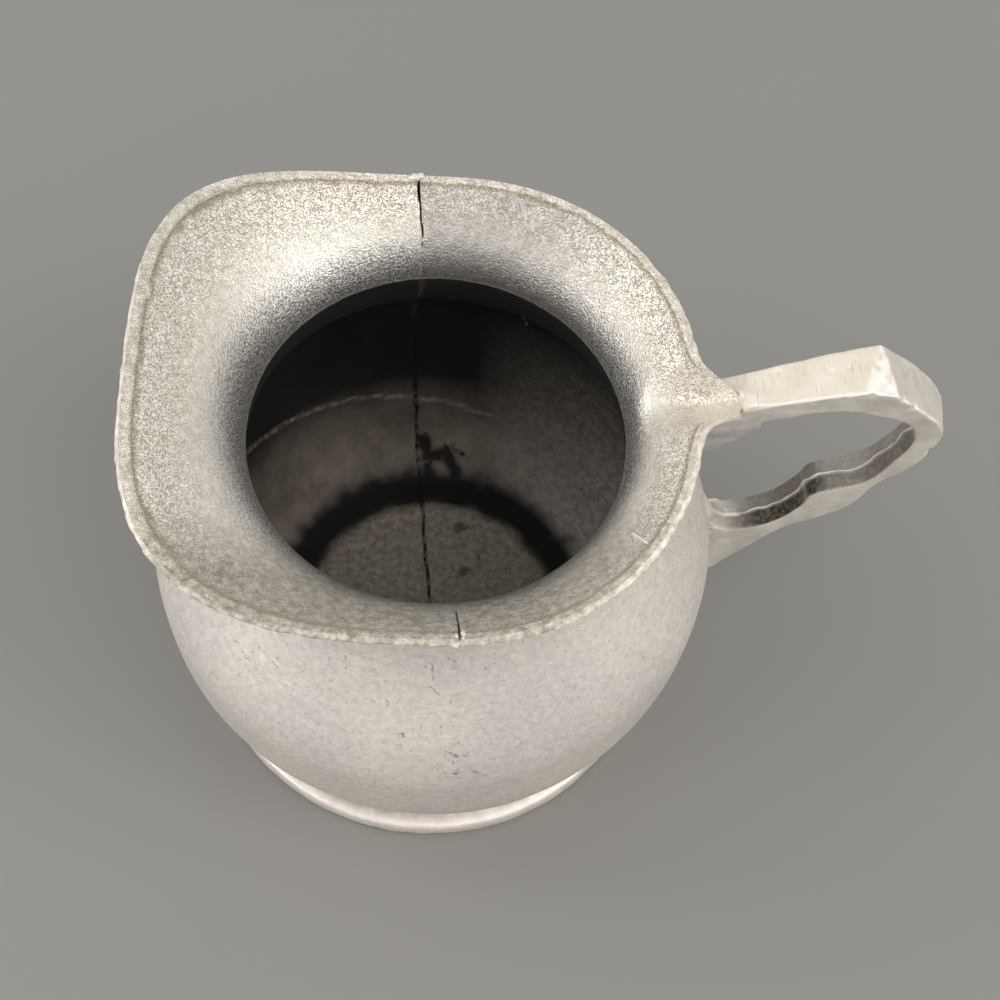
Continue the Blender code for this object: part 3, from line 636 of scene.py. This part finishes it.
def filed_solder_finish():
    """Tin solder filed and scraped flush: hard to tell from the belly, but for dark pores in a line."""
    made, tree, shader, place = new_finish("tin solder, filed flush")
    color, tooth = scraped_skin(tree, place, *wandering(tree, place)[1:])
    pores = add(tree, "TexNoise", {"Vector": place, "Scale": 1700.0, "Detail": 3.0, "Roughness": 0.65})
    dark = add(tree, "MapRange", {0: pores["Fac"], 1: 0.38, 2: 0.33})[0]
    color = add(tree, "Mix", {0: dark, 6: color, 7: "#8E877E"}, data_type="RGBA")[2]
    bump = add(tree, "Bump", {"Distance": 0.06 * mm, "Height": tooth})[0]
    wire(tree, shader, {"Base Color": color, "Metallic": 0.35, "Roughness": 0.52, "Normal": bump})
    return made


filed_solder = filed_solder_finish()
for name, node, side in (("seam_run_near", "seam_solder_near", -1.0),
                         ("seam_run_far", "seam_solder_far", 1.0)):
    piece = add_piece(name, seam_run(side), filed_solder, 50.0)
    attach(piece, "root")
    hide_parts(node)

# The solder tacks that bridge the crack on the lip. Two small lumps of tin solder, touched on with the
# iron and left as they froze: a bright one on the far rim, and dull specks in the notch of the near rim.


def solder_finish(name, darker, lighter):
    """Tin solder left as it froze: soft grey, a little shinier than the castings, with small dark pores."""
    made, tree, shader, place = new_finish(name)
    clouds = add(tree, "TexNoise", {"Vector": place, "Scale": 420.0, "Detail": 3.0})["Fac"]
    pores = add(tree, "TexNoise", {"Vector": place, "Scale": 1800.0, "Detail": 2.0})["Fac"]
    shade = add(tree, "MapRange", {0: clouds, 1: 0.35, 2: 0.68})[0]
    color = add(tree, "Mix", {0: shade, 6: darker, 7: lighter}, data_type="RGBA")[2]
    dark = add(tree, "MapRange", {0: pores, 1: 0.35, 2: 0.28, 4: 0.6})[0]
    color = add(tree, "Mix", {0: dark, 6: color, 7: "#8C857D"}, data_type="RGBA")[2]
    dull = add(tree, "MapRange", {0: clouds, 1: 0.3, 2: 0.7, 3: 0.55, 4: 0.38})[0]
    bump = add(tree, "Bump", {"Strength": 0.5, "Distance": 0.08 * mm, "Height": pores})[0]
    wire(tree, shader, {"Base Color": color, "Metallic": 0.5, "Roughness": dull, "Normal": bump})
    return made


solder = solder_finish("tin solder, as frozen", "#B6B0AC", "#D6D2CD")
bright_solder = solder_finish("tin solder, as frozen, bright", "#D9D5D0", "#F6F3EE")


def lump(shape, place, size, knobbly):
    """One frozen drop of solder: a small ball, stretched and dented."""
    made = bmesh.ops.create_icosphere(shape, subdivisions=4, radius=1.0)["verts"]
    for corner in made:
        x, y, z = corner.co
        swell = 1.0 + knobbly * rough(x * 2.0 + place[0], y * 2.0, z * 2.0 + place[1], 1.4, 3.0)
        corner.co = Vector((x * size[0], y * size[1], z * size[2])) * swell + Vector(place)


tack_drops = {
    "rim_tack_far": [((-0.45, -0.45, -0.40), (0.62, 0.42, 0.30)), ((0.20, -0.30, -0.45), (0.42, 0.36, 0.28))],
    "rim_tack_near": [((0.34, 0.55, -0.55), (0.26, 0.34, 0.20)), ((-0.36, 0.35, -0.60), (0.18, 0.26, 0.16)),
                      ((0.30, 0.05, -0.60), (0.16, 0.20, 0.15))],
}
for node, drops in tack_drops.items():
    low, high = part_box(node)
    shape = bmesh.new()
    for offset, size in drops:
        lump(shape, Vector(offset), size, 0.35)
    bmesh.ops.scale(shape, vec=(mm, mm, mm), verts=shape.verts)
    bmesh.ops.translate(shape, vec=(low + high) / 2.0, verts=shape.verts)
    piece = add_piece(node + "_drops", shape, bright_solder if node == "rim_tack_far" else solder, 60.0)
    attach(piece, "root")
    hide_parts(node)

# The foot ring. Pewter, cast and turned as a low ring with a hollowed upper face, its rim worn bright,
# and soldered under the belly from inside.
foot_radius = 27.5
foot_bore = 21.5
foot_height = 4.85
foot_rim = 2.2
foot_rounding = 0.5
foot_burr = Vector((-10.12, -25.42, 2.34))
foot_columns = 384


def foot_shape():
    """Spin the ring's section and wear its rim unevenly."""
    shape = bmesh.new()
    top = Vector((crease_radius, foot_height))
    outer = Vector((foot_radius - foot_rounding, foot_rim + foot_rounding))
    hollow = Vector((crease_radius + foot_rounding, foot_rim + 2.0 * foot_rounding))
    points = [Vector((foot_bore, foot_height))] + [bend(top, hollow, outer, row / 10.0) for row in range(11)]
    for row in range(1, 6):
        points.append(bend(outer, Vector((foot_radius, foot_rim + foot_rounding * 0.8)),
                           Vector((foot_radius, foot_rim - 0.3)), row / 5.0))
    points += [Vector((foot_radius, foot_rounding + 0.5)), Vector((foot_radius, foot_rounding))]
    points += [Vector((foot_radius - 0.15, 0.15)), Vector((foot_radius - foot_rounding, 0.0))]
    points += [Vector((foot_bore + 0.3, 0.0)), Vector((foot_bore, 0.3))]
    line = [shape.verts.new((point.x, 0.0, point.y)) for point in points]
    edges = [shape.edges.new(pair) for pair in zip(line, line[1:] + line[:1])]
    bmesh.ops.spin(shape, geom=line + edges, cent=(0, 0, 0), axis=(0, 0, 1), angle=math.tau,
                   steps=foot_columns, use_merge=True)
    bmesh.ops.recalc_face_normals(shape, faces=shape.faces)
    rim_mask = shape.verts.layers.float.new("rim")
    for corner in shape.verts:
        x, y, z = corner.co
        radius = math.hypot(x, y)
        wear_and_highlight = smooth(foot_radius - 1.4, foot_radius - 0.5, radius) * smooth(0.3, 1.4, z)
        corner[rim_mask] = wear_and_highlight
        if z > 0.1 and radius > foot_bore + 0.5:
            out = 0.09 * rough(x, y, z, 5.0, 4.0) + 0.07 * rough(x, y, z, 1.3, 2.0) - 0.13
            out += 0.10 * max(0.0, 1.0 - (corner.co - foot_burr).length / 0.9)
            corner.co.x += x / radius * out
            corner.co.y += y / radius * out
            corner.co.z += 0.5 * out * wear_and_highlight
    place_on_table(shape)
    return shape


def scraped_finish(name, mask, worn_color):
    """Cast pewter scraped semi-matt: mottled light grey, a fine grain, and a paler worn place."""
    made, tree, shader, place = new_finish(name)
    wear_and_highlight = add(tree, "Attribute", {}, attribute_name=mask)["Fac"]
    clouds = add(tree, "TexNoise", {"Vector": place, "Scale": 420.0, "Detail": 5.0, "Roughness": 0.68})["Fac"]
    grain = add(tree, "TexNoise", {"Vector": place, "Scale": 2200.0, "Detail": 3.0, "Roughness": 0.65})["Fac"]
    shade = add(tree, "MapRange", {0: clouds, 1: 0.36, 2: 0.64})[0]
    color = add(tree, "Mix", {0: shade, 6: "#ABA398", 7: "#CFC7BC"}, data_type="RGBA")[2]
    wear_and_shade = add(tree, "Mix", {0: shade, 6: "#E8DED5", 7: worn_color}, data_type="RGBA")[2]
    color = add(tree, "Mix", {0: wear_and_highlight, 6: color, 7: wear_and_shade}, data_type="RGBA")[2]
    dull = add(tree, "MapRange", {0: grain, 1: 0.3, 2: 0.7, 3: 0.60, 4: 0.42})[0]
    bump = add(tree, "Bump", {"Strength": 0.6, "Distance": 0.12 * mm, "Height": clouds})[0]
    wire(tree, shader, {"Base Color": color, "Metallic": 0.5, "Roughness": dull, "Normal": bump})
    return made


foot_finish = scraped_finish("cast pewter, turned, rim worn bright", "rim", "#F6ECE4")
piece = add_piece("foot_ring_turned", foot_shape(), foot_finish, 40.0)
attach(piece, "root")
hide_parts("foot_ring")
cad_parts["foot_solder"].data.materials.clear()
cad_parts["foot_solder"].data.materials.append(solder)

# The handle. Pewter, cast in one loop with the mould's parting fin left on the inside of its lower
# branch. The strap on top was filed flat across, which left fine lines and a few casting pits.


def relax(shape, factor):
    """Draw every vertex towards its neighbours."""
    bmesh.ops.smooth_vert(shape, verts=shape.verts, factor=factor,
                          use_axis_x=True, use_axis_y=True, use_axis_z=True)


def even_copy(node, size):
    """A node's mesh, merged, in small even faces of a size in millimetres that can carry tool marks."""
    shape = bmesh.new()
    shape.from_mesh(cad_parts[node].data)
    bmesh.ops.remove_doubles(shape, verts=shape.verts, dist=0.001 * mm)
    blank = bpy.data.objects.new(node + "_blank", bpy.data.meshes.new(node + "_blank"))
    shape.to_mesh(blank.data)
    bpy.context.scene.collection.objects.link(blank)
    remesh = blank.modifiers.new("even faces", "REMESH")
    remesh.mode = "VOXEL"
    remesh.voxel_size = size * mm
    graph = bpy.context.evaluated_depsgraph_get()
    even = bpy.data.meshes.new_from_object(blank.evaluated_get(graph))
    shape.clear()
    shape.from_mesh(even)
    bpy.data.objects.remove(blank)
    relax(shape, 0.5)
    bmesh.ops.recalc_face_normals(shape, faces=shape.faces)
    shape.normal_update()
    return shape


handle_dents = [
    ((36.75, -2.78, 56.68), 0.8, 0.35), ((38.19, -2.84, 54.98), 0.9, 0.30), ((42.8, -2.1, 43.59), 0.9, 0.30),
    ((24.06, 1.52, 56.54), 0.4, 0.16), ((29.33, 0.36, 57.89), 0.36, 0.16), ((31.18, 0.51, 58.25), 0.4, 0.14),
    ((33.1, -2.7, 58.1), 0.7, 0.22), ((30.2, -2.6, 57.3), 0.6, 0.16), ((27.3, -2.4, 56.6), 0.5, 0.14),
    ((34.6, -1.6, 58.5), 0.7, 0.16), ((34.1, 0.4, 58.8), 0.6, 0.14), ((35.2, -2.4, 58.0), 0.6, 0.20),
]
handle_masks = ("strap", "oxide", "fin", "wear_and_highlight", "flat", "sandy")
strap_level = 50.0
branch_level = 47.5
branch_start = 32.0
branch_half_width = 2.25
lower_root_level, lower_root_end = 28.5, 33.0
oxide_start, oxide_full = 31.8, 36.2
loop_middle = Vector((40.5, 0.0, 44.0))
flat_far = Vector((46.4, 3.0, 58.9))
flat_near = Vector((44.6, -3.0, 58.4))
flat_drop = Vector((46.95, -3.0, 57.8))


def past_tab(place, y):
    """How far a point of the strap stands outside the edge of the lip's tab, in millimetres."""
    edge = lip_line(math.atan2(y, place))[2]
    return math.hypot(place, y) - edge.x - lip_wall / 3.0


def handle_shape():
    """Work the even copy of the handle over: casting unevenness, a wavy fin, file flats, pits and chips.

    The roots grow over the gaps to the lip and the belly, as the solder flowed there.
    """
    shape = even_copy("handle", 0.2)
    mask = {name: shape.verts.layers.float.new(name) for name in handle_masks}
    square = (flat_drop - flat_near).cross(flat_far - flat_near).normalized()
    moves = {}
    for corner in shape.verts:
        x, y, z = corner.co / mm
        place = x - axis_place
        spot = Vector((place, y, z))
        normal = corner.normal.copy()
        top = z > strap_level and place > 22.0 and (place < 48.0 or z > 57.0)
        up = smooth(0.70, 0.93, normal.z) * float(top)
        beyond = past_tab(place, y) if z > strap_level else 9.0
        within = smooth(0.05, 0.5, normal.dot((loop_middle - spot).normalized()))
        inner = within * smooth(branch_level, branch_level - 2.0, z) * float(place > branch_start)
        inner *= smooth(branch_half_width, branch_half_width - 0.3, abs(y))
        out = 0.05 * rough(x, y, z, 3.2, 3.0) + 0.03 * rough(x, y, z, 0.9, 5.0) - 0.05
        out += 0.14 * (rough(x, y, z, 4.6, 9.0) - 0.3) * smooth(strap_level, 46.0, z)
        # A painted highlight: the strap's top faces that turn towards the front lamp are marked to be painted
        # near white, and given a little unevenness.
        wear_and_highlight = smooth(0.15, 0.40, -normal.y) * smooth(0.15, 0.40, normal.z) * float(z > strap_level)
        out += 0.13 * wear_and_highlight * rough(x, y, z, 1.2, 19.0)
        for dent, reach, depth in handle_dents:
            away = (Vector((x, y, z)) - Vector(dent)).length / reach
            if away < 1.0:
                out -= depth * (1.0 - away ** 2) ** 2
        root = smooth(-0.2, -0.6, normal.x)
        if beyond < 1.0 or (z < lower_root_level and place < lower_root_end):
            out += 0.34 * root
        out += 0.45 * up * math.exp(-(max(beyond, 0.0) / 1.6) ** 2)
        out -= 0.24 * inner * smooth(0.70, 0.30, abs(y))
        out += 0.20 * inner * smooth(0.26, 0.0, abs(y)) * (1.0 + 0.8 * rough(x, y, z, 1.4, 6.0))
        wave = 0.42 * rough(place, 3.0, z, 1.9, 4.0) * inner * max(0.0, 1.0 - (abs(y) / 1.5) ** 2) ** 2
        moves[corner] = (normal * out + Vector((0.0, wave, 0.0))) * mm
        corner[mask["strap"]] = up
        wear_and_shade = smooth(-0.5, 0.1, rough(x, y, z, 1.4, 6.0))
        corner[mask["fin"]] = 0.75 * inner * smooth(0.30, 0.12, abs(y)) * wear_and_shade
        corner[mask["wear_and_highlight"]] = wear_and_highlight
        # The file flat is painted near white, a painted highlight on the facet.
        on_flat = smooth(0.22, 0.08, abs((spot - flat_near).dot(square)))
        on_flat *= smooth(0.75, 0.92, normal.dot(square))
        corner[mask["flat"]] = on_flat * smooth(-0.35, 0.0, rough(x, y, z, 1.2, 17.0))
        corner[mask["sandy"]] = up * smooth(1.3, 0.3, beyond + 1.5 * max(0.0, 1.2 - y))
        end = smooth(35.5, 38.0, place) * smooth(45.0, 43.0, place)
        along = smooth(oxide_start, oxide_full, place) * (0.75 + 0.25 * end)
        side = smooth(0.12, 0.45, abs(y)) * (0.72 + 0.28 * smooth(0.3, -0.3, y))
        corner[mask["oxide"]] = inner * along * side
    for corner, move in moves.items():
        corner.co += move
    return shape


def handle_finish():
    """Cast pewter, made ivory on the filed strap and brown with oxide in the loop, with painted highlights
    in white on the edges that face the front lamp and on the file flat, and a pale fin.
    """
    made, tree, shader, place = new_finish("cast pewter, filed strap, oxide in the loop")
    mask = {name: add(tree, "Attribute", {}, attribute_name=name)["Fac"] for name in handle_masks}
    clouds, grain, speckle = [
        add(tree, "TexNoise", {"Vector": place, "Scale": scale, "Detail": detail, "Roughness": harsh})["Fac"]
        for scale, detail, harsh in ((260.0, 4.0, 0.6), (2200.0, 3.0, 0.65), (1500.0, 4.0, 0.72))]
    across = add(tree, "Mapping", {"Vector": place, "Scale": (6500.0, 420.0, 900.0)})[0]
    lines = add(tree, "TexNoise", {"Vector": across, "Scale": 1.0, "Detail": 2.0})["Fac"]
    shade, spots, filed, uneven, patches, dull = [
        add(tree, "MapRange", dict(enumerate(values)))[0] for values in (
            (clouds, 0.35, 0.68), (grain, 0.36, 0.58), (lines, 0.31, 0.37),
            (speckle, 0.35, 0.65, -0.35, 0.35), (speckle, 0.42, 0.62, 1.0, 0.82),
            (grain, 0.3, 0.7, 0.58, 0.42))]
    side, ivory, sand = [
        add(tree, "Mix", {0: by, 6: darker, 7: lighter}, data_type="RGBA")[2] for by, darker, lighter in
        ((shade, "#C9C2B8", "#E2DBCF"), (shade, "#E1D5C1", "#ECE3D4"), (spots, "#B5A894", "#EAE2D6"))]
    top = add(tree, "Mix", {0: filed, 6: "#CDC2AE", 7: ivory}, data_type="RGBA")[2]
    end = add(tree, "Math", {0: mask["sandy"], 1: uneven}, operation="ADD")[0]
    end = add(tree, "MapRange", {0: end, 1: 0.45, 2: 0.62})[0]
    stained = add(tree, "Math", {0: patches, 1: mask["oxide"]}, operation="MULTIPLY")[0]
    # Painted highlights: the edges that face the front lamp and the file flat are mixed to near white, with
    # the pale fin.
    bright = add(tree, "Math", {0: mask["wear_and_highlight"], 1: mask["flat"]}, operation="MAXIMUM")[0]
    bright = add(tree, "Math", {0: bright, 1: mask["fin"]}, operation="MAXIMUM")[0]
    bright = add(tree, "Math", {0: bright, 1: 0.85}, operation="MULTIPLY")[0]
    color = side
    for share, paint in ((mask["strap"], top), (end, sand), (stained, "#322921"), (bright, "#F6F1EA")):
        color = add(tree, "Mix", {0: share, 6: color, 7: paint}, data_type="RGBA")[2]
    marks = add(tree, "Mix", {0: mask["strap"], 2: grain, 3: lines})[0]
    bump = add(tree, "Bump", {"Strength": 0.5, "Distance": 0.08 * mm, "Height": marks})[0]
    wire(tree, shader, {"Base Color": color, "Metallic": 0.3, "Roughness": dull, "Normal": bump})
    return made


cast_handle = handle_finish()
piece = add_piece("handle_cast", handle_shape(), cast_handle, 180.0)
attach(piece, "root")
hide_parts("handle")

# The solder that holds the handle: a drooping lump under the strap's root, smeared on and left with a
# burr where the iron pulled away, and a hollow fillet over the lower root. Tin solder, soft grey.
burr = Vector((17.9, -2.0, 54.2))
between_roots = 40.0
fillet_level = 27.25
fillet_hollow = 2.2
for node, swell, lumpy, finish in (("handle_upper_solder", 0.34, 0.22, solder),
                                   ("handle_lower_solder", 0.42, 0.10, cast_handle)):
    shape = even_copy(node, 0.16)
    for _ in range(10):
        relax(shape, 0.6)
    shape.normal_update()
    oxide, fin = [shape.verts.layers.float.new(name) for name in ("oxide", "fin")]
    moves = {}
    for corner in shape.verts:
        x, y, z = corner.co / mm
        out = swell
        if z < between_roots:
            inward = -corner.normal.dot(Vector((x - axis_place, y, 0.0)).normalized())
            out = -0.15 + (swell + 0.15) * smooth(0.1, 0.6, max(inward, -corner.normal.z))
        out += lumpy * rough(x, y, z, 1.8, 8.0) + 0.03 * rough(x, y, z, 0.6, 1.0)
        out += 0.7 * max(0.0, 1.0 - (Vector((x, y, z)) - burr).length / 1.1) ** 2
        crotch = smooth(30.0, 28.2, z) * smooth(20.2, 22.2, x)
        corner[oxide] = 0.36 * crotch * smooth(1.9, 1.4, abs(y))
        corner[fin] = 0.6 * crotch * smooth(0.34, 0.14, abs(y))
        moves[corner] = corner.normal * out * mm
    for corner, move in moves.items():
        corner.co += move
        x, y, z = corner.co / mm
        if z < between_roots:
            radius = math.hypot(x - axis_place, y)
            narrow = 1.0 - 0.82 * smooth(0.5, 1.9, abs(y)) * smooth(27.3, 28.4, z)
            hollow = fillet_hollow * math.exp((fillet_level - z) / 1.5) * narrow
            spare = radius - belly_radius_at(z) - hollow + 0.12 + 0.25 * smooth(30.2, 31.5, z)
            if spare > 0.0:
                corner.co -= Vector((x - axis_place, y, 0.0)) / radius * spare * mm
    piece = add_piece(node + "_run", shape, finish, 180.0)
    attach(piece, "root")
    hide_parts(node)

# The floor and the room round it: a sheet of plain matt grey paper that the jug stands on, inside a
# white light tent with seven soft boxes round it.
bpy.ops.mesh.primitive_plane_add(size=6.0)
floor = bpy.context.object
floor.name = "floor"
made, tree, shader = new_finish("matt grey paper")[:3]
wire(tree, shader, {"Base Color": "#898783", "Roughness": 0.9})
floor.data.materials.append(made)

world = bpy.data.worlds.new("light tent")
bpy.context.scene.world = world
world.use_nodes = True
world.node_tree.nodes["Background"].inputs["Color"].default_value = (0.96, 0.98, 1.0, 1.0)
world.node_tree.nodes["Background"].inputs["Strength"].default_value = 0.66
neutral_white = (1.0, 0.985, 0.96)
for name, azimuth, elevation, distance, size, strength, color in (
        ("front softbox", -64, 60, 0.75, 0.50, 1.85, (1.0, 0.97, 0.93)),
        ("low front softbox", -105, 20, 0.80, 0.50, 0.2, neutral_white),
        ("low left softbox", -160, 16, 0.80, 0.40, 3.6, neutral_white),
        ("low right softbox", -28, 16, 0.80, 0.40, 1.8, neutral_white),
        ("right softbox", -22, 42, 0.60, 0.26, 3.0, (1.0, 0.98, 0.95)),
        ("left softbox", 165, 28, 0.60, 0.26, 2.4, (0.97, 0.98, 1.0)),
        ("upper left softbox", 160, 50, 0.65, 0.30, 1.6, neutral_white)):
    lamp = bpy.data.lights.new(name, "AREA")
    lamp.size = size
    lamp.energy = math.pi * strength * size ** 2
    lamp.color = color
    holder = bpy.data.objects.new(name, lamp)
    toward = Euler((0.0, -math.radians(elevation), math.radians(azimuth))).to_matrix()
    aim = Vector((0.0, 0.0, 0.04))
    holder.location = aim + toward @ Vector((distance, 0.0, 0.0))
    holder.rotation_mode = "QUATERNION"
    holder.rotation_quaternion = (holder.location - aim).to_track_quat("Z", "Y")
    bpy.context.scene.collection.objects.link(holder)

# The camera: a 72 mm lens on a 36 mm sensor, held above and before the jug where a fit to the
# photograph put it.
camera = bpy.data.objects.new("camera", bpy.data.cameras.new("camera"))
camera.data.lens = 72.0
camera.data.sensor_width = 36.0
camera.data.clip_start = 0.01
forward = Vector((0.08261789, 0.45765718, -0.88528198))
right = Vector((0.99476556, -0.09147016, 0.04554872))
upward = Vector((0.06013118, 0.88441117, 0.46281868))
turn = Matrix((right, upward, -forward)).transposed().to_4x4()
camera.matrix_world = Matrix.Translation((-0.02278336, -0.10300896, 0.23355296)) @ turn
bpy.context.scene.collection.objects.link(camera)
bpy.context.scene.camera = camera
bpy.context.scene.view_settings.view_transform = "Standard"
